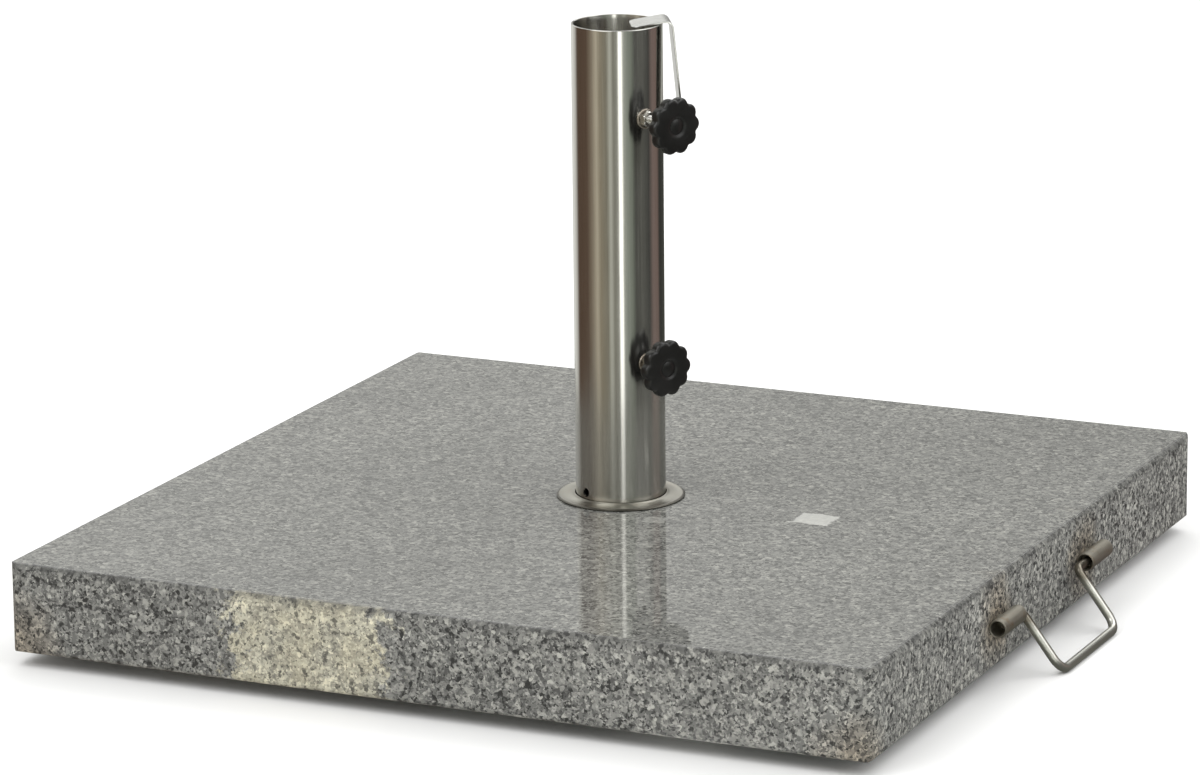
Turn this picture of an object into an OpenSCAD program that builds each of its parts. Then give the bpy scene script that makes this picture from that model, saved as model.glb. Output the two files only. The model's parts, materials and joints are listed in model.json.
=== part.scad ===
// Parasol base: a square granite slab on rubber feet, a stainless standpipe
// bolted through its middle, two star-knob clamp screws and a folding carry bail.
// Millimetres. +Z is up, the origin is on the floor under the standpipe's axis,
// +X points to the side that carries the bail.

/* [Slab] */
// Side length of the square slab
slab_side = 600; // [500:10:700]
// Thickness of the slab
slab_t = 60; // [50:5:90]
// Rounding of the slab's long edges
edge_r = 4; // [2:0.5:6]
// Rounding of the slab's corners, seen from above
corner_r = 12; // [6:1:20]

/* [Feet] */
// Height of the rubber feet
foot_h = 10; // [9:1:16]
// Diameter of the rubber feet
foot_d = 40; // [30:1:60]
// Distance from the slab's side to a foot's centre
foot_inset = 85; // [60:5:120]

/* [Standpipe] */
// Outer diameter of the pipe
pipe_d = 60.3; // [60.3:0.1:64]
// Wall thickness of the pipe
pipe_wall = 2; // [1.5:0.1:3]
// Height of the pipe above the slab
pipe_h = 321; // [280:1:400]
// Diameter of the rosette round the pipe's foot
rosette_d = 86; // [80:1:120]
// Diameter of the drain hole above the pipe's foot
drain_d = 6; // [4:0.5:8]

/* [Clamp screws] */
// Height of the upper screw above the slab
upper_screw_h = 261.5; // [200:0.5:265]
// Height of the lower screw above the slab
lower_screw_h = 97; // [60:0.5:120]
// Distance from the pipe's axis to the middle of the upper knob
upper_knob_r = 59.5; // [57:0.5:66]
// Distance from the pipe's axis to the middle of the lower knob
lower_knob_r = 49; // [49:0.5:58]
// Diameter of a star knob
knob_d = 38; // [34:1:44]
// Thickness of a star knob's rim
knob_t = 9; // [8:0.5:12]
// Bearing of the screws, counter-clockwise from +X
screw_bearing = -28; // [-60:1:0]

/* [Clamp leaf] */
// Width of the leaf
leaf_w = 26; // [14:1:30]
// Thickness of the leaf
leaf_t = 1.2; // [0.8:0.1:2]
// Length of the leaf's hanging leg
leaf_leg = 68; // [40:1:90]
// Downward slope of the leaf's tongue towards the middle of the mouth, in degrees
leaf_slope = 9.5; // [6:0.5:12]
// Outward slant of the leaf's leg, in degrees
leaf_slant = 5.5; // [3:0.5:8]
// Bearing of the leaf, counter-clockwise from +X
leaf_bearing = 29.6; // [20:0.1:60]

/* [Bail] */
// Diameter of the bail's rod
rod_d = 6; // [5:0.5:7]
// Distance from the hinge line to the middle of the crossbar
bail_drop = 46; // [44:0.5:48]
// Height of the hinge line above the slab's underside
hinge_h = 30; // [28:0.5:32]
// Outer diameter of the two sleeves
sleeve_d = 12; // [11:0.5:13]

/* [Hidden] */
$fn = 64;

steel = "silver";
stone = [0.60, 0.60, 0.58];
black_plastic = [0.13, 0.13, 0.12];
black_rubber = [0.10, 0.10, 0.10];

eps = 0.01;
slab_z = foot_h;
slab_top = slab_z + slab_t;
face_x = slab_side / 2;

// Standpipe, its foot plate and the bolt that holds it down
pipe_r = pipe_d / 2;
bore_r = pipe_r - pipe_wall;
pipe_top = slab_top + pipe_h;
plate_t = 4;
plate_gap = 0.05;
seat_r = bore_r + 0.5;
seat_h = 17;
mouth_h = 3;
mouth_ease = 0.5;
bolt_r = 6;
bolt_hole_r = 6.5;
nut_af = 19;
nut_t = 9;
bolt_head_af = 18;
bolt_head_t = 7.5;
spring_t = 2.6;
spring_r = 10.5;
spring_gap = 0.2;
spring_cut = 1.4;
washer_t = 3;
washer_r = 20;
counterbore_r = 23;
counterbore_h = 20;
washer_z = slab_z + counterbore_h - washer_t;
spring_z = washer_z - spring_t;
head_z = spring_z - bolt_head_t;
bolt_end = slab_top + plate_t + nut_t + 2;
rosette_t = 2;
rosette_gap = 0.3;
rosette_edge = 0.5;
rosette_roll = 1.1;
rosette_lip = 1.2;
rosette_rise = 0.6;
drill_past = 5;
drain_bearing = -116;
drain_z = slab_top + plate_t + drain_d / 2;

// Clamp screws: M6 studs through nuts that are welded to the pipe
stud_r = 3;
nut_clear = 0.05;
wall_hole_r = 3.3;
weld_nut_af = 10;
weld_nut_end = 35;
nut_sink = 1;
nut_relief = 20;
pad_r = 2.7;
pad_t = 3;
pad_stem_r = 1.2;
pad_stem = 4;
pad_stem_clear = 0.06;
pad_tip = bore_r + 0.15;
pad_shoulder = 0.3;
stud_start = pad_tip + pad_t + pad_shoulder;
hub_r = 7.5;
hub_root_r = 11;
hub_len = 6;
knob_core_r = 17.2;
lobes = 10;
lobe_r = 4.2;
knob_edge = 2;
stud_bite = 6;
stud_gap = 0.5;

// Clamp leaf
leaf_gap = 0.25;
leaf_tip_r = 9;
leaf_bend_r = 4.4;
leaf_leg_r = 34.5;
leaf_rest_r = sqrt(bore_r * bore_r - leaf_w * leaf_w / 4);
leaf_dip = (leaf_rest_r - leaf_tip_r) * tan(leaf_slope);
arc_steps = 12;

// Bail, sleeves and the pins that anchor them in the stone
rod_r = rod_d / 2;
sleeve_r = sleeve_d / 2;
stub_clear = 0.08;
mouth_r = 4.9;
sleeve_gap = 0.3;
hinge_x = face_x + sleeve_r + sleeve_gap;
hinge_z = slab_z + hinge_h;
bar_gap = 0.3;
bar_z = rod_r + bar_gap;
bail_tilt = acos((hinge_z - bar_z) / bail_drop);
front_sleeve = [-100, -62];
rear_sleeve = [63.5, 101.5];
front_mouth = 16;
rear_mouth = 8;
front_leg_y = -56.5;
rear_leg_y = 48;
stub_front_y = -82;
stub_rear_y = 92;
top_bend = 4.5;
bar_bend = 10;
collar_gap = 0.3;
collar_reach = 0.6;
collar_rise = 0.15;
pin_r = 4;
pin_depth = 55;
pin_back = 2;
pin_hole_clear = 0.05;

// Feet
foot_pos = face_x - foot_inset;
foot_screw_r = 2.9;
foot_hole_r = 3.2;
head_r = 5.8;
head_pocket_r = 7;
head_pocket = 5;
foot_head_t = 3.4;
hex_key_af = 4;
hex_key_depth = 2;
plug_r = 5;
plug_len = 34;
plug_end = 4;
foot_screw_len = 30;

// A rectangle with its four corners rounded by circles
module rounded_square(size, r) {
    for (s = [-1, 1]) {
        square([size[0] - 2 * r * (1 + s) / 2, size[1] - 2 * r * (1 - s) / 2], center = true);
        for (t = [-1, 1])
            translate([s * (size[0] / 2 - r), t * (size[1] / 2 - r)])
                circle(r);
    }
}

// Puts its children at the four feet
module at_feet() {
    for (x = [-1, 1], y = [-1, 1])
        translate([x * foot_pos, y * foot_pos, 0])
            children();
}

// Turns +X of its children to a bearing and lifts them to a height
module radial(bearing, z) {
    translate([0, 0, z])
        rotate([0, 0, bearing])
            children();
}

// A cylinder along +X from x0 to x1
module x_cylinder(x0, x1, r) {
    translate([x0, 0, 0])
        rotate([0, 90, 0])
            cylinder(r = r, h = x1 - x0);
}

// A cylinder along +Y from y0 to y1
module y_cylinder(y0, y1, r) {
    translate([0, y0, 0])
        rotate([-90, 0, 0])
            cylinder(r = r, h = y1 - y0);
}

// A hexagonal prism, given its width across flats
module hexagon(af, h) {
    cylinder(r = af / 2 / cos(30), h = h, $fn = 6);
}

module granite_slab() {
    over = slab_side + 2;
    color(stone)
        difference() {
            intersection() {
                translate([0, 0, slab_z])
                    linear_extrude(slab_t)
                        rounded_square([slab_side, slab_side], corner_r);
                translate([over / 2, 0, slab_z + slab_t / 2])
                    rotate([0, -90, 0])
                        linear_extrude(over)
                            rounded_square([slab_t, slab_side], edge_r);
                translate([0, over / 2, slab_z + slab_t / 2])
                    rotate([90, 0, 0])
                        linear_extrude(over)
                            rounded_square([slab_side, slab_t], edge_r);
            }
            translate([0, 0, slab_z - 1])
                cylinder(r = bolt_hole_r, h = slab_t + 2);
            translate([0, 0, slab_z - 1])
                cylinder(r = counterbore_r, h = counterbore_h + 1);
            at_feet()
                translate([0, 0, slab_z - 1])
                    cylinder(r = plug_r + pin_hole_clear, h = plug_len + 2);
            for (y = [sleeve_mid(front_sleeve), sleeve_mid(rear_sleeve)])
                translate([0, y, hinge_z])
                    x_cylinder(face_x - pin_depth - 1, face_x + 1, pin_r + pin_hole_clear);
        }
}

module rubber_feet() {
    color(black_rubber)
        at_feet()
            difference() {
                rotate_extrude()
                    polygon([[0, 0], [foot_d / 2 - 1, 0], [foot_d / 2, 1],
                             [foot_d / 2 - 2, foot_h], [0, foot_h]]);
                translate([0, 0, -1])
                    cylinder(r = foot_hole_r, h = foot_h + 2);
                translate([0, 0, -1])
                    cylinder(r = head_pocket_r, h = head_pocket + 1);
            }
}

module foot_screws() {
    color(steel)
        at_feet()
            translate([0, 0, head_pocket - foot_head_t]) {
                difference() {
                    cylinder(r = head_r, h = foot_head_t);
                    translate([0, 0, -1])
                        hexagon(hex_key_af, hex_key_depth + 1);
                }
                cylinder(r = foot_screw_r, h = foot_head_t + foot_screw_len);
            }
}

module foot_plugs() {
    color([0.75, 0.75, 0.72])
        at_feet()
            translate([0, 0, slab_z])
                difference() {
                    cylinder(r = plug_r, h = plug_len);
                    translate([0, 0, -1])
                        cylinder(r = foot_screw_r + pin_hole_clear, h = plug_len - plug_end + 1);
                }
}

// Pipe with its screw holes and drain hole, a seat turned out for the foot plate, and a
// slightly tapered lead-in at its mouth
module standpipe() {
    color(steel)
        difference() {
            translate([0, 0, slab_top])
                cylinder(r = pipe_r, h = pipe_h);
            translate([0, 0, slab_top - 1])
                cylinder(r = bore_r, h = pipe_h + 2);
            translate([0, 0, slab_top - 1])
                cylinder(r = seat_r, h = seat_h + 1);
            translate([0, 0, pipe_top - mouth_h])
                cylinder(r1 = bore_r, r2 = bore_r + 2 * mouth_ease, h = 2 * mouth_h);
            for (h = [upper_screw_h, lower_screw_h])
                radial(screw_bearing, slab_top + h)
                    x_cylinder(0, pipe_r + drill_past, wall_hole_r);
            radial(drain_bearing, drain_z)
                x_cylinder(0, pipe_r + drill_past, drain_d / 2);
        }
}

module foot_plate() {
    color(steel)
        translate([0, 0, slab_top])
            difference() {
                cylinder(r = seat_r - plate_gap, h = plate_t);
                translate([0, 0, -1])
                    cylinder(r = bolt_hole_r, h = plate_t + 2);
            }
}

module foot_plate_nut() {
    color(steel)
        translate([0, 0, slab_top + plate_t])
            difference() {
                hexagon(nut_af, nut_t);
                translate([0, 0, -1])
                    cylinder(r = bolt_r + nut_clear, h = nut_t + 2);
            }
}

module rosette() {
    inner = pipe_r + rosette_gap;
    outer = rosette_d / 2;
    lip_top = rosette_t + rosette_rise;
    color(steel)
        translate([0, 0, slab_top])
            rotate_extrude()
                polygon([[inner, 0], [outer - rosette_edge, 0], [outer, rosette_edge],
                         [outer - rosette_edge, rosette_roll],
                         [outer - 4 * rosette_edge, rosette_t - rosette_edge],
                         [inner + 2 * rosette_lip, rosette_t - rosette_gap],
                         [inner + rosette_lip, lip_top], [inner, lip_top]]);
}

module centre_bolt() {
    color(steel)
        translate([0, 0, head_z]) {
            hexagon(bolt_head_af, bolt_head_t);
            cylinder(r = bolt_r, h = bolt_end - head_z);
        }
}

module bolt_spring_washer() {
    color(steel)
        translate([0, 0, spring_z])
            difference() {
                cylinder(r = spring_r, h = spring_t);
                translate([0, 0, -1])
                    cylinder(r = bolt_r + spring_gap, h = spring_t + 2);
                translate([0, -spring_cut / 2, -1])
                    cube([spring_r + 1, spring_cut, spring_t + 2]);
            }
}

module bolt_plate_washer() {
    color(steel)
        translate([0, 0, washer_z])
            difference() {
                cylinder(r = washer_r, h = washer_t);
                translate([0, 0, -1])
                    cylinder(r = bolt_hole_r, h = washer_t + 2);
            }
}

// Nut on the outside of the pipe, its back hollowed to the pipe's curve
module weld_nut(h) {
    color(steel)
        difference() {
            radial(screw_bearing, slab_top + h)
                translate([pipe_r - nut_sink, 0, 0])
                    rotate([0, 90, 0])
                        hexagon(weld_nut_af, weld_nut_end - pipe_r + nut_sink);
            translate([0, 0, slab_top + h - nut_relief])
                cylinder(r = pipe_r, h = 2 * nut_relief);
            radial(screw_bearing, slab_top + h)
                x_cylinder(0, weld_nut_end + drill_past, stud_r + nut_clear);
        }
}

// Outline of a star knob: a round core with a ring of lobes
module star() {
    circle(knob_core_r);
    for (i = [0 : lobes - 1])
        rotate([0, 0, i * 360 / lobes])
            translate([knob_d / 2 - lobe_r, 0])
                circle(lobe_r);
}

// Star knob whose middle stands at radius r, with a hub towards the pipe
module knob(h, r) {
    face = knob_t / 2;
    rim = knob_d / 2;
    color(black_plastic)
        radial(screw_bearing, slab_top + h)
            translate([r, 0, 0])
                rotate([0, 90, 0])
                    difference() {
                        union() {
                            intersection() {
                                translate([0, 0, -face])
                                    linear_extrude(knob_t)
                                        star();
                                rotate_extrude()
                                    polygon([[0, -face], [rim - knob_edge, -face], [rim + eps, -face + knob_edge],
                                             [rim + eps, face - knob_edge], [rim - knob_edge, face], [0, face]]);
                            }
                            translate([0, 0, -face - hub_len])
                                cylinder(r1 = hub_r, r2 = hub_root_r, h = hub_len + 1);
                        }
                        translate([0, 0, -face - hub_len - 1])
                            cylinder(r = stud_r + pin_hole_clear, h = hub_len + 1 + stud_bite);
                    }
}

// Threaded stud from the tip pad into the knob
module screw(h, r) {
    stud_end = r - knob_t / 2 + stud_bite - stud_gap;
    color(steel)
        radial(screw_bearing, slab_top + h)
            difference() {
                x_cylinder(stud_start, stud_end, stud_r);
                x_cylinder(stud_start - 1, stud_start + pad_stem + stud_gap, pad_stem_r + pad_stem_clear);
            }
}

// Plastic pad that presses on the pole, with a stem that sits in the stud
module tip_pad(h) {
    color([0.85, 0.85, 0.82])
        radial(screw_bearing, slab_top + h) {
            x_cylinder(pad_tip, pad_tip + pad_t, pad_r);
            x_cylinder(pad_tip, stud_start + pad_stem, pad_stem_r);
        }
}

// Points along an arc about a centre, from one angle to another
function arc(centre, r, from, to) =
    [for (i = [0 : arc_steps]) centre + r * unit(from + (to - from) * i / arc_steps)];
function unit(angle) = [cos(angle), sin(angle)];

// Loose hook-shaped strip: a tongue over the pipe's mouth and a hanging leg
module clamp_leaf() {
    outer = leaf_bend_r + leaf_t;
    tip = [leaf_tip_r, leaf_gap - leaf_dip];
    normal = unit(90 + leaf_slope);
    reach = (leaf_leg_r - leaf_bend_r - leaf_tip_r) / cos(leaf_slope);
    centre = tip + reach * unit(leaf_slope) - leaf_bend_r * normal;
    down = leaf_leg * unit(leaf_slant - 90);
    profile = concat(
        [tip],
        arc(centre, leaf_bend_r, 90 + leaf_slope, leaf_slant),
        [centre + leaf_bend_r * unit(leaf_slant) + down, centre + outer * unit(leaf_slant) + down],
        arc(centre, outer, leaf_slant, 90 + leaf_slope),
        [tip + leaf_t * normal]);
    color(steel)
        radial(leaf_bearing, pipe_top)
            translate([0, leaf_w / 2, 0])
                rotate([90, 0, 0])
                    linear_extrude(leaf_w)
                        polygon(profile);
}

function sleeve_mid(s) = (s[0] + s[1]) / 2;
function bearing_2d(a, b) = atan2(b[1] - a[1], b[0] - a[0]);
function signed_turn(t) = t > 180 ? t - 360 : (t < -180 ? t + 360 : t);
function trim_length(bend, turn) = bend * tan(abs(turn) / 2);

// Straight length of rod between two points, cut back for the bends at its ends.
// A short collar, slightly wider than the rod, joins it to each bend.
module rod_run(a, b, cut_a, cut_b) {
    span = norm(b - a);
    translate([a[0], a[1], 0])
        rotate([0, 0, bearing_2d(a, b)]) {
            x_cylinder(cut_a + (cut_a > 0 ? collar_gap : 0),
                       span - cut_b - (cut_b > 0 ? collar_gap : 0), rod_r);
            for (x = [cut_a, span - cut_b])
                if (x > 0 && x < span)
                    x_cylinder(x - collar_reach, x + collar_reach, rod_r + collar_rise);
        }
}

// Rounded corner of the rod: it arrives on one bearing and leaves on the next
module rod_bend(corner, bearing_in, turn, bend) {
    side = turn > 0 ? 1 : -1;
    translate([corner[0], corner[1], 0])
        rotate([0, 0, bearing_in])
            translate([-trim_length(bend, turn), side * bend, 0])
                rotate([0, 0, side > 0 ? -90 : 90 - abs(turn)])
                    rotate_extrude(angle = abs(turn))
                        translate([bend, 0])
                            circle(rod_r);
}

// The bent rod drawn flat, x along the hinge line and y away from the crossbar
module flat_bail() {
    path = [[stub_front_y, 0], [front_leg_y, 0], [front_leg_y, -bail_drop],
            [rear_leg_y, -bail_drop], [rear_leg_y, 0], [stub_rear_y, 0]];
    bends = [0, top_bend, bar_bend, bar_bend, top_bend, 0];
    last = len(path) - 1;
    bearings = [for (i = [0 : last - 1]) bearing_2d(path[i], path[i + 1])];
    turns = [for (i = [0 : last])
        i == 0 || i == last ? 0 : signed_turn(bearings[i] - bearings[i - 1])];
    cuts = [for (i = [0 : last]) trim_length(bends[i], turns[i])];
    for (i = [0 : last - 1])
        rod_run(path[i], path[i + 1], cuts[i], cuts[i + 1]);
    for (i = [1 : last - 1])
        rod_bend(path[i], bearings[i - 1], turns[i], bends[i]);
}

module handle_bail() {
    color(steel)
        translate([hinge_x, 0, hinge_z])
            rotate([0, -bail_tilt, 0])
                rotate([90, 0, 90])
                    flat_bail();
}

// Short tube along the hinge line, with a wide mouth at its front end
module handle_sleeve(span, mouth) {
    color(steel)
        translate([hinge_x, 0, hinge_z])
            difference() {
                y_cylinder(span[0], span[1], sleeve_r);
                y_cylinder(span[0] - 1, span[1] + 1, rod_r + stub_clear);
                y_cylinder(span[0] - 1, span[0] + mouth, mouth_r);
            }
}

// Pin from a sleeve into the stone, its end hollowed to the sleeve's curve
module anchor_pin(span) {
    color(steel)
        difference() {
            translate([0, sleeve_mid(span), hinge_z])
                x_cylinder(face_x - pin_depth, hinge_x - pin_back, pin_r);
            translate([hinge_x, 0, hinge_z])
                y_cylinder(span[0], span[1], sleeve_r);
        }
}

granite_slab();
rubber_feet();
foot_screws();
foot_plugs();
standpipe();
foot_plate();
foot_plate_nut();
rosette();
centre_bolt();
bolt_spring_washer();
bolt_plate_washer();
weld_nut(upper_screw_h);  // upper_weld_nut
knob(upper_screw_h, upper_knob_r);  // upper_knob
screw(upper_screw_h, upper_knob_r);  // upper_screw
tip_pad(upper_screw_h);  // upper_tip_pad
weld_nut(lower_screw_h);  // lower_weld_nut
knob(lower_screw_h, lower_knob_r);  // lower_knob
screw(lower_screw_h, lower_knob_r);  // lower_screw
tip_pad(lower_screw_h);  // lower_tip_pad
clamp_leaf();
handle_bail();
handle_sleeve(front_sleeve, front_mouth);  // handle_sleeve_front
handle_sleeve(rear_sleeve, rear_mouth);  // handle_sleeve_rear
anchor_pin(front_sleeve);  // anchor_pin_front
anchor_pin(rear_sleeve);  // anchor_pin_rear
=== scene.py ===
import json
import math

import bmesh
import bpy
from mathutils import Matrix, Vector

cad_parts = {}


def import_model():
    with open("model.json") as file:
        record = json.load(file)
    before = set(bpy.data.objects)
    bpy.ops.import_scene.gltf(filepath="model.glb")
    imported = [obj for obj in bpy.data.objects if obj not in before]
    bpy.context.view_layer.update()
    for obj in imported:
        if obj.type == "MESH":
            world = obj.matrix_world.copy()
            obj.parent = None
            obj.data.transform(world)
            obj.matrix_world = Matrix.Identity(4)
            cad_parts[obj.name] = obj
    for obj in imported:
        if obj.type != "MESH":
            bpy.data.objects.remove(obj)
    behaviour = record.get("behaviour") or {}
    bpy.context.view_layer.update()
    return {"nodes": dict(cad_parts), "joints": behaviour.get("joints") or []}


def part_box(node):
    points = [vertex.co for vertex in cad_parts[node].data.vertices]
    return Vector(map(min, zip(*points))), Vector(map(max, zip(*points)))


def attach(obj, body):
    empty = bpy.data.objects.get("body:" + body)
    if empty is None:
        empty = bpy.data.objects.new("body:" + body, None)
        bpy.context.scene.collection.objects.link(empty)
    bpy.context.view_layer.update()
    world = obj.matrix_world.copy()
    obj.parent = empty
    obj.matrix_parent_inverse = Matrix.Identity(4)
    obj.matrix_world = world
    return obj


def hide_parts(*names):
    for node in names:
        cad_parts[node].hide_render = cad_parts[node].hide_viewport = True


MM = 0.001
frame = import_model()
nodes = frame["nodes"]
joints = {joint["name"]: joint for joint in frame["joints"]}


# ---------------------------------------------------------------- frame sizes

def span_along(node, axis):
    """Nearest and farthest reach of a CAD node along an axis through the origin."""
    reach = [vertex.co.dot(axis) for vertex in nodes[node].data.vertices]
    return min(reach), max(reach)


slab_low, slab_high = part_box("granite_slab")
pipe_low, pipe_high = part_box("standpipe")
bail_low, bail_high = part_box("handle_bail")
pipe_r = (pipe_high.x - pipe_low.x) / 2
pipe_wall = 2 * MM
slab_top = slab_high.z
face_x = slab_high.x
screw_axis = -Vector(joints["upper_knob_turn"]["axis"]).normalized()
leaf_pull = Vector(joints["leaf_pull"]["axis"]).normalized()
leaf_axis = Vector((leaf_pull.x, leaf_pull.y, 0)).normalized()
hinge = Vector(joints["bail_swing"]["pos_m"])
bail_sleeves = ("handle_sleeve_front", "handle_sleeve_rear")


# ---------------------------------------------------------------- mesh helpers

def mesh_object(name, verts, faces, smooth_angle=35):
    """A new object from points and faces, smooth except at its sharp edges."""
    mesh = bpy.data.meshes.new(name)
    mesh.from_pydata([tuple(v) for v in verts], [], faces)
    bm = bmesh.new()
    bm.from_mesh(mesh)
    bmesh.ops.recalc_face_normals(bm, faces=bm.faces)
    bm.to_mesh(mesh)
    bm.free()
    mesh.shade_smooth()
    mesh.set_sharp_from_angle(angle=math.radians(smooth_angle))
    obj = bpy.data.objects.new(name, mesh)
    bpy.context.scene.collection.objects.link(obj)
    return obj


def ring_mesh(name, rings, matrix, closed_loop=False, smooth_angle=35):
    """Skins a stack of equal rings. A stack that isn't a loop gets a cap at each end."""
    sides = len(rings[0])
    verts = [matrix @ Vector(point) for ring in rings for point in ring]
    faces = []
    count = len(rings)
    for i in range(count if closed_loop else count - 1):
        a, b = i * sides, (i + 1) % count * sides
        for k in range(sides):
            n = (k + 1) % sides
            faces.append((a + k, a + n, b + n, b + k))
    if not closed_loop:
        faces.append(tuple(range(sides)))
        faces.append(tuple(range((count - 1) * sides, count * sides)))
    return mesh_object(name, verts, faces, smooth_angle)


def circle(r, z, sides):
    return [(r * math.cos(2 * math.pi * k / sides), r * math.sin(2 * math.pi * k / sides), z)
            for k in range(sides)]


def shaped(radius_at, z, sides):
    """A ring whose radius is a function of the angle."""
    ring = []
    for k in range(sides):
        angle = 2 * math.pi * k / sides
        r = radius_at(angle)
        ring.append((r * math.cos(angle), r * math.sin(angle), z))
    return ring


def lathe(name, profile, matrix=Matrix(), sides=96, smooth_angle=35):
    """A closed (r, z) outline turned round Z."""
    return ring_mesh(name, [circle(r, z, sides) for r, z in profile], matrix,
                     closed_loop=True, smooth_angle=smooth_angle)


def quarter(r, z, radius, start, steps=5):
    """Points of a quarter circle about (r, z), from start degrees, counter-clockwise."""
    return [(r + radius * math.cos(math.radians(start + 90 * i / steps)),
             z + radius * math.sin(math.radians(start + 90 * i / steps)))
            for i in range(steps + 1)]


def radial_matrix(axis, z):
    """Turns local +Z to a horizontal axis and lifts it to a height."""
    up = Vector((0, 0, 1))
    side = up.cross(axis)
    return Matrix.Translation((0, 0, z)) @ Matrix((side, up, axis)).transposed().to_4x4()


def round_corners(points, radii, steps=8):
    """A polyline with each inner corner replaced by an arc."""
    path = [points[0]]
    for i in range(1, len(points) - 1):
        corner = points[i]
        back = (points[i - 1] - corner).normalized()
        ahead = (points[i + 1] - corner).normalized()
        half = back.angle(ahead) / 2
        cut = radii[i - 1] / math.tan(half)
        centre = corner + (back + ahead).normalized() * radii[i - 1] / math.sin(half)
        start = corner + back * cut - centre
        end = corner + ahead * cut - centre
        turn = start.angle(end)
        for k in range(steps + 1):
            t = k / steps
            arm = start * math.sin((1 - t) * turn) + end * math.sin(t * turn)
            path.append(centre + arm / math.sin(turn))
    path.append(points[-1])
    return path


def sweep(name, path, radius_at, sides=24, closed_loop=False, normal=None):
    """A round rod along a path; radius_at(i) is its radius at each point."""
    rings = []
    count = len(path)
    across = normal
    for i in range(count):
        before = path[(i - 1) % count] if closed_loop or i else path[i]
        after = path[(i + 1) % count] if closed_loop or i < count - 1 else path[i]
        along = (after - before).normalized()
        across = (across - along * across.dot(along)).normalized()
        other = along.cross(across)
        r = radius_at(i)
        rings.append([path[i] + across * r * math.cos(2 * math.pi * k / sides)
                      + other * r * math.sin(2 * math.pi * k / sides) for k in range(sides)])
    return ring_mesh(name, rings, Matrix(), closed_loop, smooth_angle=40)


def place(obj, body, slot_name, material, *replaced):
    """Gives a piece its material, its body and the CAD nodes it stands for."""
    obj.data.materials.clear()
    obj.data.materials.append(material)
    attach(obj, body)
    if replaced:
        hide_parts(*replaced)
    return obj


# ---------------------------------------------------------------- materials

class Shader:
    """A new material with a Principled shader and short ways to add nodes to it."""

    def __init__(self, name, **constants):
        self.material = bpy.data.materials.new(name)
        self.material.use_nodes = True
        self.tree = self.material.node_tree
        self.bsdf = self.tree.nodes["Principled BSDF"]
        for socket, value in constants.items():
            self.bsdf.inputs[socket.replace("_", " ")].default_value = value
        self.coords = self.add("ShaderNodeTexCoord").outputs["Object"]

    def add(self, kind, inputs=None, **settings):
        node = self.tree.nodes.new(kind)
        for key, value in settings.items():
            setattr(node, key, value)
        for key, value in (inputs or {}).items():
            self.put(node.inputs[key], value)
        return node

    def put(self, socket, value):
        if isinstance(value, bpy.types.NodeSocket):
            self.tree.links.new(value, socket)
        else:
            socket.default_value = value

    def math(self, operation, *values):
        return self.add("ShaderNodeMath", dict(enumerate(values)), operation=operation).outputs[0]

    def noise(self, scale, detail=3.0, rough=0.5, vector=None):
        return self.add("ShaderNodeTexNoise", {
            "Vector": vector or self.coords, "Scale": scale, "Detail": detail,
            "Roughness": rough}).outputs["Fac"]

    def stretched(self, x, y, z):
        return self.add("ShaderNodeMapping", {"Vector": self.coords, "Scale": (x, y, z)}).outputs[0]

    def ramp(self, factor, stops, interpolation="LINEAR"):
        node = self.add("ShaderNodeValToRGB", {"Fac": factor})
        elements = node.color_ramp.elements
        node.color_ramp.interpolation = interpolation
        while len(elements) < len(stops):
            elements.new(0.5)
        for element, (position, colour) in zip(elements, stops):
            element.position = position
            grey = isinstance(colour, float)
            element.color = (colour, colour, colour, 1) if grey else (*colour, 1)
        return node.outputs["Color"]

    def span(self, value, low, high, to_low=0.0, to_high=1.0):
        return self.add("ShaderNodeMapRange", {
            "Value": value, "From Min": low, "From Max": high,
            "To Min": to_low, "To Max": to_high}).outputs["Result"]

    def mix(self, factor, a, b, blend="MIX"):
        node = self.add("ShaderNodeMix", data_type="RGBA", blend_type=blend)
        self.put(node.inputs["Factor"], factor)
        for socket, value in ((node.inputs[6], a), (node.inputs[7], b)):
            self.put(socket, (*value, 1) if isinstance(value, tuple) else value)
        return node.outputs[2]

    def bump(self, height, distance, strength):
        return self.add("ShaderNodeBump", {"Height": height, "Strength": strength,
                                           "Distance": distance}).outputs["Normal"]

    def finish(self, **links):
        for socket, value in links.items():
            self.put(self.bsdf.inputs[socket.replace("_", " ")], value)
        return self.material


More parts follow.
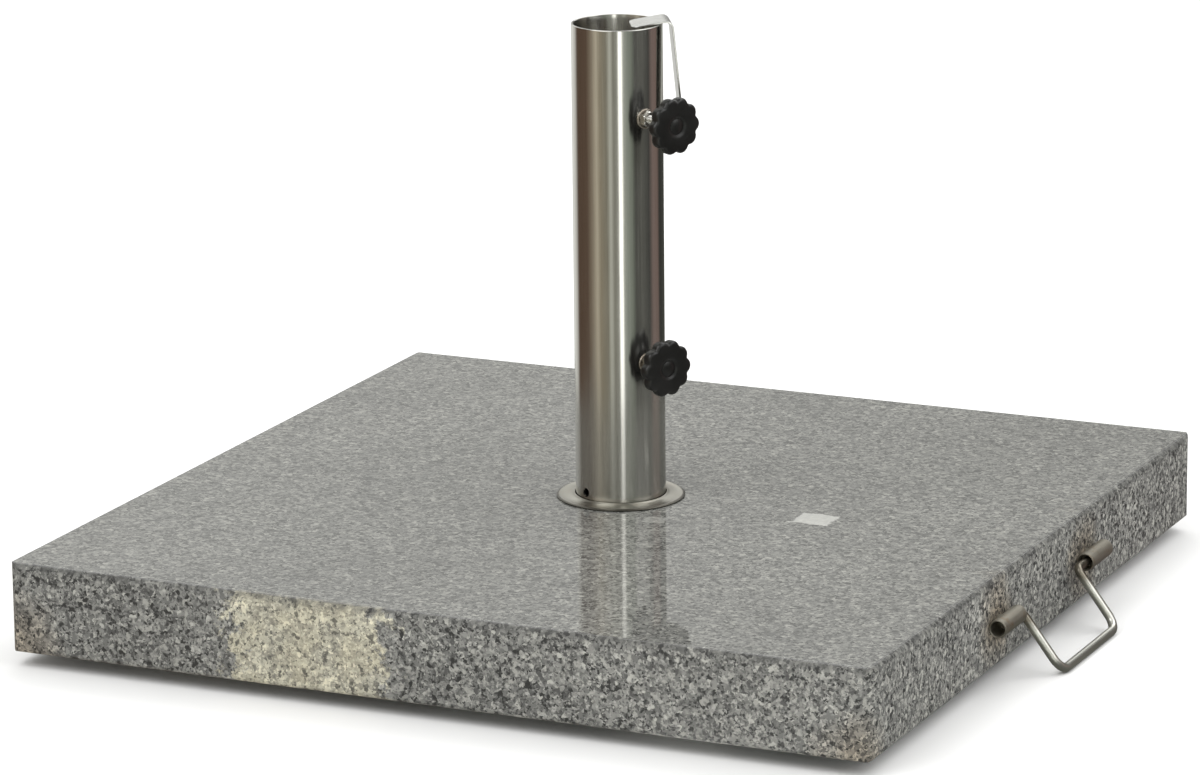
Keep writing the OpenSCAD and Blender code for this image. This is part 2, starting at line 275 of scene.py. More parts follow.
def granite():
    """Salt-and-pepper granite: polished on top, rough on the sides."""
    s = Shader("granite", IOR=1.6)
    wobble = s.add("ShaderNodeTexNoise", {"Vector": s.coords, "Scale": 420.0, "Detail": 2.0})
    shift = s.add("ShaderNodeVectorMath", {0: wobble.outputs["Color"], 1: (0.5, 0.5, 0.5)},
                  operation="SUBTRACT").outputs[0]
    grain_at = s.add("ShaderNodeVectorMath", {0: shift, 1: (3.2 * MM,) * 3, 2: s.coords},
                     operation="MULTIPLY_ADD").outputs[0]
    where = s.add("ShaderNodeSeparateXYZ", {"Vector": s.coords})
    x, y, z = where.outputs
    polish = s.span(z, slab_top - 0.6 * MM, slab_top - 0.02 * MM)

    def grains(scale, stops):
        cells = s.add("ShaderNodeTexVoronoi", {"Vector": grain_at, "Scale": scale})
        value = s.add("ShaderNodeSeparateColor", {"Color": cells.outputs["Color"]}).outputs[0]
        return s.ramp(value, stops, "CONSTANT")

    coarse = grains(310.0, [(0.0, (0.020, 0.020, 0.019)), (0.14, (0.070, 0.070, 0.066)),
                            (0.30, (0.135, 0.135, 0.126)), (0.52, (0.215, 0.215, 0.198)),
                            (0.74, (0.300, 0.298, 0.270)), (0.92, (0.390, 0.386, 0.350))])
    fine = grains(650.0, [(0.0, (0.022, 0.022, 0.021)), (0.22, (0.110, 0.110, 0.103)),
                          (0.55, (0.210, 0.210, 0.195)), (0.85, (0.330, 0.326, 0.300))])
    mixed = s.mix(s.span(s.noise(230.0), 0.42, 0.58), coarse, fine)

    # A paler, yellowish stretch of the front side, with its dark grains left in
    ragged = s.math("MULTIPLY_ADD", s.noise(34.0, 5.0, 0.6), 36 * MM, -18 * MM)
    frayed = s.math("MULTIPLY_ADD", s.noise(60.0, 6.0, 0.75), 130 * MM, -65 * MM)
    patch_mid = s.math("ADD", s.math("ABSOLUTE", s.math("ADD", x, 83 * MM)), frayed)
    front = s.span(y, slab_low.y + 6 * MM, slab_low.y + 1 * MM)
    patch = s.math("MULTIPLY", s.span(patch_mid, 58 * MM, 50 * MM), front)
    patch = s.math("MULTIPLY", patch, s.span(s.noise(48.0, 3.0), 0.25, 0.5, 0.6, 1.0))
    creamy = s.mix(0.30, s.mix(1.0, mixed, (2.05, 1.95, 1.60), "MULTIPLY"), (0.56, 0.54, 0.45))
    yellow = s.span(s.noise(40.0, 4.0), 0.42, 0.62)
    creamy = s.mix(s.math("MULTIPLY", yellow, 0.3), creamy, (0.52, 0.47, 0.32))
    spots = s.span(s.noise(150.0, 3.0, 0.6), 0.575, 0.62)
    creamy = s.mix(s.math("MULTIPLY", spots, 0.85), creamy, (0.085, 0.08, 0.065))
    colour = s.mix(patch, mixed, creamy)

    flecks = s.span(s.noise(430.0, 4.0, 0.65), 0.585, 0.64)
    colour = s.mix(s.math("MULTIPLY", flecks, 0.85), colour, (0.020, 0.020, 0.019))
    cloud = s.span(s.noise(8.0, 4.0), 0.3, 0.7, 0.88, 1.14)
    clouds = s.add("ShaderNodeCombineColor", {0: cloud, 1: cloud, 2: cloud}).outputs[0]
    colour = s.mix(1.0, colour, clouds, "MULTIPLY")
    # Painted sheen: on the polished top the colour is pulled 36% toward an even grey, standing in for
    # reflected light that flattens the grain
    colour = s.mix(s.math("MULTIPLY", polish, 0.36), colour, (0.175, 0.176, 0.166))

    # The rounded edge is rubbed and chipped, so it looks darker
    edge = s.math("MULTIPLY", s.span(z, slab_top - 5 * MM, slab_top - 2 * MM),
                  s.span(z, slab_top - 0.005 * MM, slab_top - 0.1 * MM))
    worn = s.span(s.noise(110.0, 4.0, 0.7), 0.35, 0.6, 0.25, 0.6)
    colour = s.mix(s.math("MULTIPLY", edge, worn), colour, (0.045, 0.045, 0.042))

    # Rusty marks: low at the front corners, and round the sleeves of the bail
    def mark(point, reach, amount):
        away = s.add("ShaderNodeVectorMath", {0: s.coords, 1: point},
                     operation="DISTANCE").outputs["Value"]
        near = s.span(s.math("ADD", away, ragged), reach, reach * 0.2)
        return s.math("MULTIPLY", near, amount)

    marks = [mark((slab_low.x, slab_low.y, slab_low.z), 46 * MM, 0.75),
             mark((slab_high.x - 12 * MM, slab_low.y, slab_low.z + 4 * MM), 30 * MM, 0.6)]
    for sleeve_name in bail_sleeves:
        low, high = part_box(sleeve_name)
        marks.append(mark((face_x, (low.y + high.y) / 2 - 6 * MM, low.z + 6 * MM), 34 * MM, 0.8))
    rust = marks[0]
    for other in marks[1:]:
        rust = s.math("MAXIMUM", rust, other)
    colour = s.mix(rust, colour, s.mix(1.0, colour, (0.98, 0.80, 0.60), "MULTIPLY"))

    # Residue of peeled-off labels, lying on the polish
    def residue(mid_x, mid_y, half_x, half_y, amount):
        off_x = s.math("SUBTRACT", s.math("ABSOLUTE", s.math("SUBTRACT", x, mid_x)), half_x)
        off_y = s.math("SUBTRACT", s.math("ABSOLUTE", s.math("SUBTRACT", y, mid_y)), half_y)
        edge = s.math("MULTIPLY_ADD", s.noise(150.0, 5.0, 0.6), 9 * MM, -4.5 * MM)
        spread = s.math("ADD", s.math("MAXIMUM", off_x, off_y), edge)
        inside = s.math("MULTIPLY", s.span(spread, 0.8 * MM, -0.8 * MM), polish)
        return s.math("MULTIPLY", inside, amount)

    label = s.math("MAXIMUM", residue(143 * MM, -6 * MM, 13 * MM, 12 * MM, 0.5),
                   residue(46 * MM, -48 * MM, 7 * MM, 7 * MM, 0.22))
    colour = s.mix(label, colour, (0.55, 0.55, 0.51))

    smear = s.span(s.noise(14.0, 5.0, 0.6), 0.35, 0.75, 0.02, 0.075)
    top_rough = s.math("ADD", smear, s.math("MULTIPLY", label, 0.6))
    rough = s.add("ShaderNodeMix", {"Factor": polish, 2: 0.78, 3: top_rough}).outputs[0]
    pits = s.noise(600.0, 6.0, 0.7)
    chips = s.noise(140.0, 4.0, 0.6)
    height = s.math("MULTIPLY", s.math("ADD", pits, s.math("MULTIPLY", chips, 1.4)),
                    s.span(polish, 0.0, 1.0, 1.0, 0.0))
    return s.finish(Base_Color=colour, Roughness=rough, Normal=s.bump(height, 0.9 * MM, 0.7))


def brushed_steel(name, colour, grain, rough, anisotropy=0.0, tint=0.0,
                  darker_above=None, painted_shade_beyond=None):
    """Metal with a fine grain and soft smudges; if asked, darker and browner above a height, and with a
    painted contact shade beyond a radius.
    """
    s = Shader(name, Metallic=1.0, Anisotropic=anisotropy)
    lines = s.noise(1.0, 4.0, 0.65, s.stretched(*grain))
    clouds = s.noise(16.0, 4.0, 0.6)
    scratches = s.noise(1.0, 2.0, 0.5, s.stretched(grain[0] * 0.3, grain[1] * 0.3, grain[2] * 3))
    value = s.math("ADD", s.math("MULTIPLY", lines, 0.28), s.math("MULTIPLY", clouds, 0.12))
    shade = s.span(value, 0.1, 0.3, 0.86, 1.08)
    base = s.mix(1.0, colour, s.add("ShaderNodeCombineColor", {0: shade, 1: shade, 2: shade}).outputs[0],
                 "MULTIPLY")
    if tint:
        stains = s.span(s.noise(90.0, 5.0, 0.7), 0.55, 0.75)
        base = s.mix(s.math("MULTIPLY", stains, tint), base, (0.30, 0.19, 0.10))
    roughness = s.span(s.math("ADD", lines, s.math("MULTIPLY", scratches, 0.4)), 0.4, 1.0,
                       rough * 0.8, rough * 1.35)
    if anisotropy:
        round_it = s.add("ShaderNodeTangent", direction_type="RADIAL", axis="Z")
        s.put(s.bsdf.inputs["Tangent"], round_it.outputs[0])
        s.bsdf.inputs["Anisotropic Rotation"].default_value = 0.25
    # Darker, browner colour above a height
    if darker_above:
        height = s.add("ShaderNodeSeparateXYZ", {"Vector": s.coords}).outputs[2]
        darkened = s.span(s.math("MULTIPLY_ADD", clouds, 6 * MM, height), darker_above, darker_above + 7 * MM)
        base = s.mix(darkened, base, (0.24, 0.22, 0.18))
    # Painted shade: a dark rim beyond a radius stands in for the contact shadow at the outer edge
    if painted_shade_beyond:
        flat = s.add("ShaderNodeVectorMath", {0: s.coords, 1: (1, 1, 0)},
                     operation="MULTIPLY").outputs[0]
        out = s.add("ShaderNodeVectorMath", {0: flat}, operation="LENGTH").outputs["Value"]
        base = s.mix(s.span(out, painted_shade_beyond, painted_shade_beyond + 0.8 * MM), base, (0.10, 0.095, 0.08))
    return s.finish(Base_Color=base, Roughness=roughness, Normal=s.bump(lines, 0.04 * MM, 0.2))


def moulded(name, colour, rough, pebble=0.05 * MM, scuffs=0.25, dust=0.22):
    """Moulded plastic or rubber with a faint pebble and paler scuffs."""
    s = Shader(name, Specular_IOR_Level=0.45)
    pale = tuple(min(1.0, c * 2.2 + 0.04) for c in colour)
    worn = s.span(s.noise(240.0, 6.0, 0.7), 0.58, 0.74)
    dusty = s.span(s.noise(55.0, 4.0), 0.45, 0.75, 0.0, dust)
    base = s.mix(s.math("MAXIMUM", s.math("MULTIPLY", worn, scuffs), dusty), colour, pale)
    roughness = s.span(s.noise(120.0, 4.0), 0.3, 0.7, rough * 0.85, rough * 1.2)
    pebbles = s.bump(s.noise(1600.0, 2.0), pebble, 0.6)
    return s.finish(Base_Color=base, Roughness=roughness, Normal=pebbles)


stone = granite()
pipe_steel = brushed_steel("pipe_steel", (0.56, 0.555, 0.525), (1500, 1500, 22), 0.16, anisotropy=0.85)
# The rosette's dark rim beyond 41 mm is painted contact shade
rosette_steel = brushed_steel("rosette_steel", (0.34, 0.33, 0.29), (500, 500, 500), 0.36, tint=0.3,
                              painted_shade_beyond=41 * MM)
plain_steel = brushed_steel("plain_steel", (0.60, 0.59, 0.56), (700, 700, 700), 0.24, tint=0.25)
# The rod is darker and browner from 9 mm under the hinge line upward
rod_steel = brushed_steel("rod_steel", (0.68, 0.68, 0.63), (900, 900, 900), 0.33, tint=0.3,
                          darker_above=hinge.z - 9 * MM)
sleeve_steel = brushed_steel("sleeve_steel", (0.38, 0.36, 0.31), (900, 60, 900), 0.55, tint=0.7)
leaf_steel = brushed_steel("leaf_steel", (0.64, 0.64, 0.62), (300, 1200, 60), 0.22)
weld_steel = brushed_steel("weld_steel", (0.40, 0.36, 0.31), (500, 500, 500), 0.38, tint=0.6)
zinc_steel = brushed_steel("zinc_steel", (0.55, 0.55, 0.52), (400, 400, 400), 0.42, tint=0.3)
knob_plastic = moulded("knob_plastic", (0.006, 0.006, 0.0055), 0.38, scuffs=0.12, dust=0.1)
foot_rubber = moulded("foot_rubber", (0.018, 0.018, 0.018), 0.75, 0.1 * MM, 0.4)
pad_nylon = moulded("pad_nylon", (0.55, 0.55, 0.52), 0.5, scuffs=0.1)

CAD_MATERIALS = {
    "granite_slab": stone, "foot_screws": zinc_steel, "foot_plugs": pad_nylon,
    "foot_plate": plain_steel, "foot_plate_nut": plain_steel, "centre_bolt": zinc_steel,
    "bolt_spring_washer": zinc_steel, "bolt_plate_washer": zinc_steel,
    "upper_tip_pad": pad_nylon, "lower_tip_pad": pad_nylon,
    "anchor_pin_front": sleeve_steel, "anchor_pin_rear": sleeve_steel,
}
for node_name, node_material in CAD_MATERIALS.items():
    nodes[node_name].data.materials.clear()
    nodes[node_name].data.materials.append(node_material)


# ---------------------------------------------------------------- standpipe

def drill(obj, matrix, r, near, far):
    """Cuts a round hole along local +Z of a matrix, from near to far."""
    cutter = ring_mesh("cutter", [circle(r, near, 48), circle(r, far, 48)], matrix)
    cut = obj.modifiers.new("drill", "BOOLEAN")
    cut.object = cutter
    cut.solver = "EXACT"
    view = bpy.context.evaluated_depsgraph_get()
    drilled = bpy.data.meshes.new_from_object(obj.evaluated_get(view))
    obj.modifiers.clear()
    obj.data = drilled
    bpy.data.objects.remove(cutter)


def standpipe():
    bore_r = pipe_r - pipe_wall
    lip = 0.45 * MM
    seat_r, seat_top = bore_r + 0.5 * MM, pipe_low.z + 17 * MM
    profile = [(bore_r, seat_top), (seat_r, seat_top), (seat_r, pipe_low.z), (pipe_r, pipe_low.z)]
    profile += quarter(pipe_r - lip, pipe_high.z - lip, lip, 0)
    profile += [(bore_r + 0.75 * MM, pipe_high.z), (bore_r + 0.45 * MM, pipe_high.z - 0.25 * MM),
                (bore_r, pipe_high.z - 3 * MM)]
    pipe = lathe("standpipe_skin", profile, sides=160)
    for joint in ("upper_knob_turn", "lower_knob_turn"):
        drill(pipe, radial_matrix(screw_axis, joints[joint]["pos_m"][2]), 3.3 * MM, 0, pipe_r + 5 * MM)
    drain = math.radians(-116)
    drain_axis = Vector((math.cos(drain), math.sin(drain), 0))
    drill(pipe, radial_matrix(drain_axis, slab_top + 7 * MM), 3 * MM, 0, pipe_r + 5 * MM)
    pipe.data.shade_smooth()
    pipe.data.set_sharp_from_angle(angle=math.radians(40))
    place(pipe, "base", "stainless_brushed", pipe_steel, "standpipe")


def rosette():
    """Thin pressed cover plate with a rolled edge and a raised collar."""
    low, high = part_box("rosette")
    outer = (high.x - low.x) / 2
    inner = pipe_r + 0.3 * MM
    height = high.z - low.z
    profile = [(inner, low.z), (outer - 0.8 * MM, low.z)]
    profile += quarter(outer - 0.8 * MM, low.z + 0.8 * MM, 0.8 * MM, -90, 4)
    profile += [(outer - 1.2 * MM, low.z + 1.55 * MM), (outer - 2.4 * MM, low.z + 1.5 * MM),
                (outer - 3.4 * MM, low.z + 1.2 * MM), (inner + 6 * MM, low.z + 1.5 * MM),
                (inner + 2.6 * MM, low.z + 1.7 * MM), (inner + 1.5 * MM, low.z + height * 0.82),
                (inner + 1.0 * MM, low.z + height * 0.97), (inner + 0.4 * MM, low.z + height)]
    plate = lathe("rosette_plate", profile, sides=144, smooth_angle=50)
    place(plate, "base", "stainless_brushed", rosette_steel, "rosette")


# ---------------------------------------------------------------- clamp screws

LOBES = 10
KNOB_SIDES = LOBES * 20


def star_radius(angle, rim, depth):
    """Outline of a star knob: broad lobes with shallow grooves between them."""
    wave = abs(math.cos(LOBES / 2 * angle))
    rounded = math.sqrt(wave * wave + 0.05) / math.sqrt(1.05)
    return rim - depth * (1 - rounded) ** 1.1


def star_knob(name, node, joint, body):
    """Moulded star knob: dished face with a centre boss, rounded lobes, cone-shaped hub behind."""
    near, far = span_along(node, screw_axis)
    low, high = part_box(node)
    rim = (high.z - low.z) / 2
    back = far - 9 * MM
    bore = 3.05 * MM
    edge = 2.4 * MM
    groove = 2.6 * MM

    def ring(z, r, star, inset=0.0):
        def radius(angle):
            return star * (star_radius(angle, rim, groove) - inset) + (1 - star) * r
        return shaped(radius, z, KNOB_SIDES)

    rings = [ring(far - 0.8 * MM, 0.3 * MM, 0), ring(far - 0.75 * MM, 4.6 * MM, 0),
             ring(far - 1.2 * MM, 5.0 * MM, 0), ring(far - 1.2 * MM, 5.6 * MM, 0),
             ring(far - 0.3 * MM, 6.4 * MM, 0), ring(far, 8.2 * MM, 0),
             ring(far - 0.1 * MM, 11.0 * MM, 0.3), ring(far - 0.2 * MM, 0, 1, edge + 1.0 * MM)]
    steps = 6
    for i in range(steps + 1):
        turn = math.pi / 2 * i / steps
        rings.append(ring(far - 0.3 * MM - edge * (1 - math.cos(turn)), 0, 1,
                          edge * (1 - math.sin(turn))))
    rings.append(ring(back + 3.4 * MM, 0, 1, 0.1 * MM))
    for i in range(steps + 1):
        turn = math.pi / 2 * i / steps
        rings.append(ring(back + 0.4 * MM + 3 * MM * (1 - math.sin(turn)), 0, 1,
                          0.1 * MM + 3 * MM * (1 - math.cos(turn))))
    rings += [ring(back + 0.15 * MM, 12.5 * MM, 0.1), ring(back, 10.6 * MM, 0),
              ring(back - 0.8 * MM, 9.8 * MM, 0), ring(near + 0.7 * MM, 7.6 * MM, 0),
              ring(near + 0.2 * MM, 7.3 * MM, 0), ring(near, 6.8 * MM, 0), ring(near, bore + 0.6 * MM, 0),
              ring(near + 0.6 * MM, bore, 0), ring(near + 11 * MM, bore, 0)]
    knob = ring_mesh(name, rings, radial_matrix(screw_axis, joints[joint]["pos_m"][2]), smooth_angle=50)
    place(knob, body, "black_plastic", knob_plastic, node)


def threaded_stud(name, node, joint, body):
    """M6 stud whose right-handed thread is real geometry."""
    near, far = span_along(node, screw_axis)
    crest, root, pitch = 3.0 * MM, 2.5 * MM, 1.0 * MM
    sides, step = 32, 0.1 * MM
    count = int((far - near) / step)

    def radius(z, angle):
        phase = (z / pitch - angle / (2 * math.pi)) % 1.0
        tooth = min(1.0, max(0.0, 2.4 * (0.5 - abs(phase - 0.5)) - 0.1))
        chamfer = min(z - near, far - z)
        return min(root + (crest - root) * tooth, root - 0.3 * MM + chamfer)

    rings = [shaped(lambda a, z=near + (far - near) * i / count: radius(z, a),
                    near + (far - near) * i / count, sides) for i in range(count + 1)]
    bored = 4.5 * MM
    stem = 1.26 * MM
    rings = [circle(stem, near + bored, sides), circle(stem, near, sides)] + rings
    stud = ring_mesh(name, rings, radial_matrix(screw_axis, joints[joint]["pos_m"][2]), smooth_angle=50)
    place(stud, body, "stainless_plain", plain_steel, node)


def weld_nut(name, node, joint):
    """Hexagon nut with chamfered corners, standing on the pipe."""
    far = span_along(node, screw_axis)[1]
    flat = 5 * MM
    corner = 1.16 * flat
    near = math.sqrt(pipe_r ** 2 - corner ** 2) - 0.2 * MM
    hole = 3.05 * MM
    sides = 96

    def hexagon(angle):
        return flat / math.cos((angle + math.pi / 6) % (math.pi / 3) - math.pi / 6)

    def ring(z, limit):
        return shaped(lambda a: min(hexagon(a), limit), z, sides)

    rings = [circle(hole, near, sides), ring(near, 1), ring(far - 1.0 * MM, 1),
             ring(far - 0.7 * MM, 5.6 * MM), ring(far - 0.3 * MM, 5.3 * MM), ring(far, 4.8 * MM),
             circle(hole + 0.5 * MM, far, sides), circle(hole, far - 0.5 * MM, sides)]
    matrix = radial_matrix(screw_axis, joints[joint]["pos_m"][2])
    nut = ring_mesh(name, rings, matrix, closed_loop=True, smooth_angle=25)
    place(nut, "base", "stainless_plain", plain_steel, node)


def nut_weld(name, joint):
    """Rippled weld bead round a nut, lying on the curve of the pipe."""
    matrix = radial_matrix(screw_axis, joints[joint]["pos_m"][2])
    steps = 120
    bead_r = 5.9 * MM
    path = []
    for i in range(steps):
        angle = 2 * math.pi * i / steps
        across, up = bead_r * math.cos(angle), bead_r * math.sin(angle)
        path.append(matrix @ Vector((across, up, math.sqrt(pipe_r ** 2 - across ** 2))))
    bead = sweep(name, path, lambda i: (0.7 + 0.15 * abs(math.sin(math.pi * i / 6))) * MM,
                 sides=12, closed_loop=True, normal=screw_axis)
    place(bead, "base", "stainless_plain", weld_steel)


# ---------------------------------------------------------------- clamp leaf

def clamp_leaf():
    """Thin hooked strip with rounded ends, resting on the pipe's mouth."""
    half_w, thick = 13 * MM, 1.2 * MM
    tip_r, leg_r, bend = 9 * MM, 34.5 * MM, 4.4 * MM
    slope, slant = math.asin(leaf_pull.z), math.radians(5.5)
    leg = 68 * MM
    rests_at = math.sqrt((pipe_r - pipe_wall) ** 2 - half_w ** 2)
    dip = (rests_at - tip_r) * math.tan(slope)
    bend_mid = bend + thick / 2
    ahead = Vector((math.cos(slope), math.sin(slope)))
    upward = Vector((-ahead.y, ahead.x))
    tip = Vector((tip_r, pipe_high.z + 0.25 * MM - dip)) + upward * thick / 2
    reach = (leg_r - bend - tip_r) / math.cos(slope)
    centre = tip + ahead * reach - upward * bend_mid
    path = [tip + ahead * reach * t / 12 for t in range(12)]
    for i in range(13):
        angle = math.pi / 2 + slope + (slant - math.pi / 2 - slope) * i / 12
        path.append(centre + Vector((math.cos(angle), math.sin(angle))) * bend_mid)
    start = path[-1]
    for i in range(1, 25):
        path.append(start + Vector((math.sin(slant), -math.cos(slant))) * leg * i / 24)
    lengths = [0.0]
    for a, b in zip(path, path[1:]):
        lengths.append(lengths[-1] + (b - a).length)
    across = 10
    corner = 4 * MM
    side = Vector((0, 0, 1)).cross(leaf_axis)

    def half_width(s):
        inward = max(0.0, corner - min(s, lengths[-1] - s))
        return half_w - corner + math.sqrt(corner ** 2 - inward ** 2)

    rings = []
    for i, point in enumerate(path):
        before, after = path[max(0, i - 1)], path[min(len(path) - 1, i + 1)]
        along = (after - before).normalized()
        normal = Vector((-along.y, along.x))
        width = half_width(lengths[i])
        ring = []
        for face in (0.5, -0.5):
            for k in range(across + 1):
                t = (k / across * 2 - 1) * (1 if face > 0 else -1)
                spot = point + normal * thick * face * 0.98
                ring.append(leaf_axis * spot.x + Vector((0, 0, spot.y)) + side * width * t)
        rings.append(ring)
    leaf = ring_mesh("clamp_leaf_strip", rings, Matrix(), smooth_angle=40)
    soften = leaf.modifiers.new("soft_edges", "BEVEL")
    soften.width = 0.25 * MM
    soften.segments = 2
    soften.limit_method = "ANGLE"
    place(leaf, "leaf", "stainless_brushed", leaf_steel, "clamp_leaf")


# ---------------------------------------------------------------- bail and sleeves

def bail():
    """Bent rod: two stubs on the hinge line, two slanting legs and a crossbar."""
    r = 3 * MM
    front_leg, rear_leg = -56.5 * MM, 48 * MM
    bar_x, bar_z = bail_high.x - r, bail_low.z + r
    corners = [Vector((hinge.x, bail_low.y + 0.2 * MM, hinge.z)), Vector((hinge.x, front_leg, hinge.z)),
               Vector((bar_x, front_leg, bar_z)), Vector((bar_x, rear_leg, bar_z)),
               Vector((hinge.x, rear_leg, hinge.z)), Vector((hinge.x, bail_high.y - 0.2 * MM, hinge.z))]
    path = round_corners(corners, [4.5 * MM, 10 * MM, 10 * MM, 4.5 * MM], 10)
    ends = {0: 0.8, 1: 1.0}
    rod = sweep("bail_rod", path, lambda i: r * 0.995 * ends.get(min(i, len(path) - 1 - i), 1.0), sides=28,
                normal=Vector((1, 0, 0)))
    place(rod, "bail", "stainless_plain", rod_steel, "handle_bail")


def sleeve(name, node, mouth):
    """Short tube for an end of the bail, with a wide mouth at the front."""
    low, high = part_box(node)
    outer = (high.z - low.z) / 2
    snug, wide, ease = 3.08 * MM, 4.9 * MM, 0.4 * MM
    length = high.y - low.y
    profile = [(wide, mouth), (wide, ease), (wide + ease, 0), (outer - ease, 0), (outer, ease),
               (outer, length - ease), (outer - ease, length), (snug + ease, length),
               (snug, length - ease), (snug, mouth)]
    along_y = Matrix.Translation((hinge.x, low.y, hinge.z)) @ Matrix.Rotation(-math.pi / 2, 4, "X")
    tube = lathe(name, profile, along_y, sides=64, smooth_angle=30)
    place(tube, "base", "stainless_plain", sleeve_steel, node)


# ---------------------------------------------------------------- feet

def rubber_feet():
    """Four turned rubber feet with grip rings underneath, made as one piece."""
    low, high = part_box("rubber_feet")
    r = 20 * MM
    centre = high.x - r
    top = high.z
    profile = [(3.2 * MM, 5 * MM), (7 * MM, 5 * MM), (7 * MM, 0.4 * MM), (7.6 * MM, 0)]
    for groove in (10 * MM, 13 * MM, 16 * MM):
        profile += [(groove, 0), (groove + 0.4 * MM, 0.9 * MM), (groove + 1.2 * MM, 0.9 * MM),
                    (groove + 1.6 * MM, 0)]
    profile += quarter(r - 1.4 * MM, 1.4 * MM, 1.3 * MM, -90, 4)
    profile += [(r - 1.6 * MM, top - 1.2 * MM), (r - 2.2 * MM, top), (3.2 * MM, top)]
    bm = bmesh.new()
    for x in (-1, 1):
        for y in (-1, 1):
            foot = lathe("foot", profile, Matrix.Translation((x * centre, y * centre, 0)), sides=64)
            bm.from_mesh(foot.data)
            bpy.data.objects.remove(foot)
    mesh = bpy.data.meshes.new("rubber_foot_set")
    bm.to_mesh(mesh)
    bm.free()
    feet = bpy.data.objects.new("rubber_foot_set", mesh)
    bpy.context.scene.collection.objects.link(feet)
    mesh.shade_smooth()
    mesh.set_sharp_from_angle(angle=math.radians(35))
    place(feet, "base", "black_rubber", foot_rubber, "rubber_feet")


standpipe()
rosette()
for level in ("upper", "lower"):
    turn_joint = level + "_knob_turn"
    star_knob(level + "_star_knob", level + "_knob", turn_joint, level + "_clamp")
    threaded_stud(level + "_stud", level + "_screw", turn_joint, level + "_clamp")
    weld_nut(level + "_hex_nut", level + "_weld_nut", turn_joint)
    nut_weld(level + "_nut_weld", turn_joint)
clamp_leaf()
bail()
sleeve("sleeve_tube_front", "handle_sleeve_front", 16 * MM)
sleeve("sleeve_tube_rear", "handle_sleeve_rear", 8 * MM)
rubber_feet()


# ---------------------------------------------------------------- camera, floor and lights

VIEW_AZIMUTH = math.radians(24.576)
VIEW_ELEVATION = math.radians(14.586)
VIEW_ROLL = math.radians(-0.56)
VIEW_DISTANCE = 3.823
AIM_RIGHT, AIM_UP = -0.0133, 0.1441


def camera():
    right = Vector((math.cos(VIEW_AZIMUTH), math.sin(VIEW_AZIMUTH), 0))
    back = Vector((math.sin(VIEW_AZIMUTH) * math.cos(VIEW_ELEVATION),
                   -math.cos(VIEW_AZIMUTH) * math.cos(VIEW_ELEVATION), math.sin(VIEW_ELEVATION)))
    up = back.cross(right)
    turned_right = right * math.cos(VIEW_ROLL) + up * math.sin(VIEW_ROLL)
    turned_up = up * math.cos(VIEW_ROLL) - right * math.sin(VIEW_ROLL)
    data = bpy.data.cameras.new("camera")
    data.lens = 172.3
    data.sensor_width = 36
    data.clip_end = 100
    eye = bpy.data.objects.new("camera", data)
    rotation = Matrix((turned_right, turned_up, back)).transposed().to_4x4()
    aim = right * AIM_RIGHT + Vector((0, 0, AIM_UP))
    eye.matrix_world = Matrix.Translation(aim + back * VIEW_DISTANCE) @ rotation
    bpy.context.scene.collection.objects.link(eye)
    bpy.context.scene.camera = eye


# What the polished metal sees round the object: bearing in degrees from the
# camera's side, growing to its right, and the tone there
SURROUNDINGS = [(-180, (0.55, 0.55, 0.53)), (-150, (1.00, 1.00, 0.96)), (-131, (0.75, 0.73, 0.69)),
                (-120, (0.13, 0.085, 0.06)), (-84, (0.15, 0.10, 0.07)), (-68, (0.34, 0.28, 0.21)),
                (-55, (0.66, 0.59, 0.46)), (-46, (0.37, 0.32, 0.23)), (-27, (0.29, 0.27, 0.21)),
                (-21, (0.66, 0.66, 0.58)), (-17, (0.66, 0.66, 0.58)), (-11, (0.31, 0.30, 0.25)),
                (0, (0.44, 0.44, 0.39)), (4, (2.7, 2.7, 2.6)), (9, (2.7, 2.7, 2.6)),
                (13, (0.56, 0.58, 0.52)), (22, (0.40, 0.43, 0.38)), (34, (0.27, 0.30, 0.25)),
                (43, (0.09, 0.09, 0.08)), (62, (0.14, 0.14, 0.125)), (84, (0.07, 0.07, 0.065)),
                (96, (0.28, 0.21, 0.19)), (114, (0.25, 0.18, 0.16)), (124, (0.05, 0.05, 0.045)),
                (160, (0.08, 0.08, 0.07)), (180, (0.55, 0.55, 0.53))]


def bearing_tones(tree, x, y):
    """Colour from the bearing of a point or a direction round the vertical."""
    def calc(operation, a, b):
        node = tree.nodes.new("ShaderNodeMath")
        node.operation = operation
        for socket, value in zip(node.inputs, (a, b)):
            if isinstance(value, bpy.types.NodeSocket):
                tree.links.new(value, socket)
            else:
                socket.default_value = value
        return node.outputs[0]

    # The bearing is 0 towards the camera and grows to the right of it
    ahead = calc("SUBTRACT", calc("MULTIPLY", x, math.sin(VIEW_AZIMUTH)),
                 calc("MULTIPLY", y, math.cos(VIEW_AZIMUTH)))
    sideways = calc("ADD", calc("MULTIPLY", x, math.cos(VIEW_AZIMUTH)),
                    calc("MULTIPLY", y, math.sin(VIEW_AZIMUTH)))
    turn = calc("ADD", calc("DIVIDE", calc("ARCTAN2", sideways, ahead), 2 * math.pi), 0.5)
    ramp = tree.nodes.new("ShaderNodeValToRGB")
    tree.links.new(turn, ramp.inputs["Fac"])
    elements = ramp.color_ramp.elements
    while len(elements) < len(SURROUNDINGS):
        elements.new(0.5)
    for element, (bearing, colour) in zip(elements, SURROUNDINGS):
        element.position = bearing / 360 + 0.5
        element.color = (*colour, 1)
    return ramp.outputs["Color"]


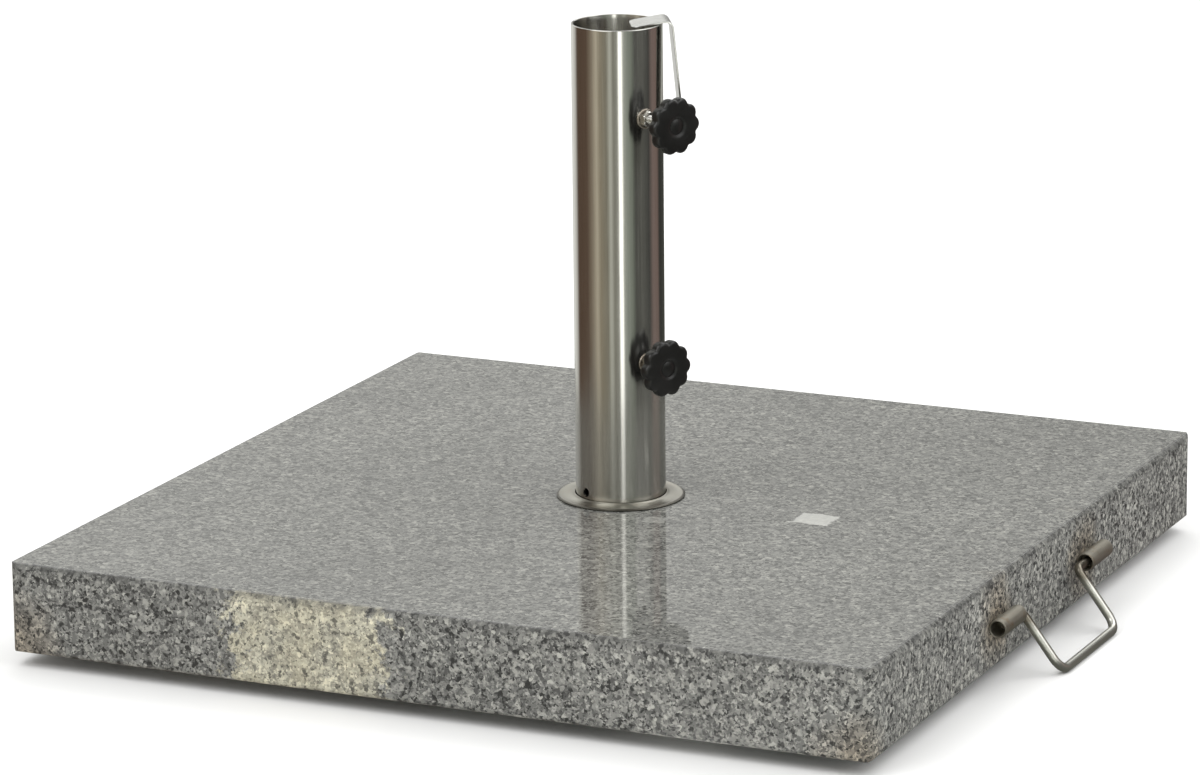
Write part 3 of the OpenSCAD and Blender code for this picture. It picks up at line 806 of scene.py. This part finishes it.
def world():
    """Soft white light; polished faces see the same tones as on the floor, dimmer overhead."""
    scene_world = bpy.data.worlds.new("studio")
    bpy.context.scene.world = scene_world
    scene_world.use_nodes = True
    tree = scene_world.node_tree
    nodes_of, link = tree.nodes, tree.links.new
    background = nodes_of["Background"]
    background.inputs["Color"].default_value = (1.0, 1.0, 0.98, 1)
    background.inputs["Strength"].default_value = 0.75
    direction = nodes_of.new("ShaderNodeTexCoord").outputs["Generated"]
    split = nodes_of.new("ShaderNodeSeparateXYZ")
    link(direction, split.inputs[0])
    overhead = nodes_of.new("ShaderNodeMapRange")
    overhead.inputs["From Min"].default_value = 0.35
    overhead.inputs["From Max"].default_value = 0.8
    link(split.outputs[2], overhead.inputs["Value"])
    fade = nodes_of.new("ShaderNodeMix")
    fade.data_type = "RGBA"
    link(overhead.outputs["Result"], fade.inputs["Factor"])
    link(bearing_tones(tree, split.outputs[0], split.outputs[1]), fade.inputs[6])
    fade.inputs[7].default_value = (0.34, 0.34, 0.32, 1)
    seen = nodes_of.new("ShaderNodeBackground")
    link(fade.outputs[2], seen.inputs["Color"])
    path = nodes_of.new("ShaderNodeLightPath")
    mix = nodes_of.new("ShaderNodeMixShader")
    link(path.outputs["Is Glossy Ray"], mix.inputs[0])
    link(background.outputs[0], mix.inputs[1])
    link(seen.outputs[0], mix.inputs[2])
    link(mix.outputs[0], nodes_of["World Output"].inputs["Surface"])


def floor():
    size = 20
    plane = mesh_object("floor", [(-size, -size, 0), (size, -size, 0), (size, size, 0), (-size, size, 0)],
                        [(0, 1, 2, 3)])
    material = bpy.data.materials.new("floor")
    material.use_nodes = True
    tree = material.node_tree
    bsdf = tree.nodes["Principled BSDF"]
    bsdf.inputs["Base Color"].default_value = (0.86, 0.86, 0.86, 1)
    bsdf.inputs["Roughness"].default_value = 0.9
    bsdf.inputs["Specular IOR Level"].default_value = 0.0
    place_node = tree.nodes.new("ShaderNodeNewGeometry")
    split = tree.nodes.new("ShaderNodeSeparateXYZ")
    tree.links.new(place_node.outputs["Position"], split.inputs[0])
    glow = tree.nodes.new("ShaderNodeEmission")
    tree.links.new(bearing_tones(tree, split.outputs[0], split.outputs[1]), glow.inputs["Color"])
    path = tree.nodes.new("ShaderNodeLightPath")
    mix = tree.nodes.new("ShaderNodeMixShader")
    tree.links.new(path.outputs["Is Glossy Ray"], mix.inputs[0])
    tree.links.new(bsdf.outputs[0], mix.inputs[1])
    tree.links.new(glow.outputs[0], mix.inputs[2])
    tree.links.new(mix.outputs[0], tree.nodes["Material Output"].inputs["Surface"])
    plane.data.materials.append(material)


def area_light(name, bearing, height, distance, size, power):
    """Soft box at a bearing from the camera's side, aimed at the object."""
    data = bpy.data.lights.new(name, "AREA")
    data.shape = "SQUARE"
    data.size = size
    data.energy = power
    lamp = bpy.data.objects.new(name, data)
    angle = VIEW_AZIMUTH + math.radians(bearing)
    lamp.location = (distance * math.sin(angle), -distance * math.cos(angle), height)
    lamp.rotation_euler = (Vector((0, 0, 0.1)) - lamp.location).to_track_quat("-Z", "Y").to_euler()
    bpy.context.scene.collection.objects.link(lamp)


camera()
world()
floor()
area_light("key", -50, 2.6, 2.2, 2.2, 54)
area_light("fill", 60, 2.2, 2.6, 2.2, 32)
area_light("back", 175, 2.4, 2.4, 2.6, 30)
area_light("side", 112, 2.5, 1.7, 1.4, 20)
bpy.context.scene.view_settings.view_transform = "Standard"
bpy.context.scene.view_settings.look = "None"
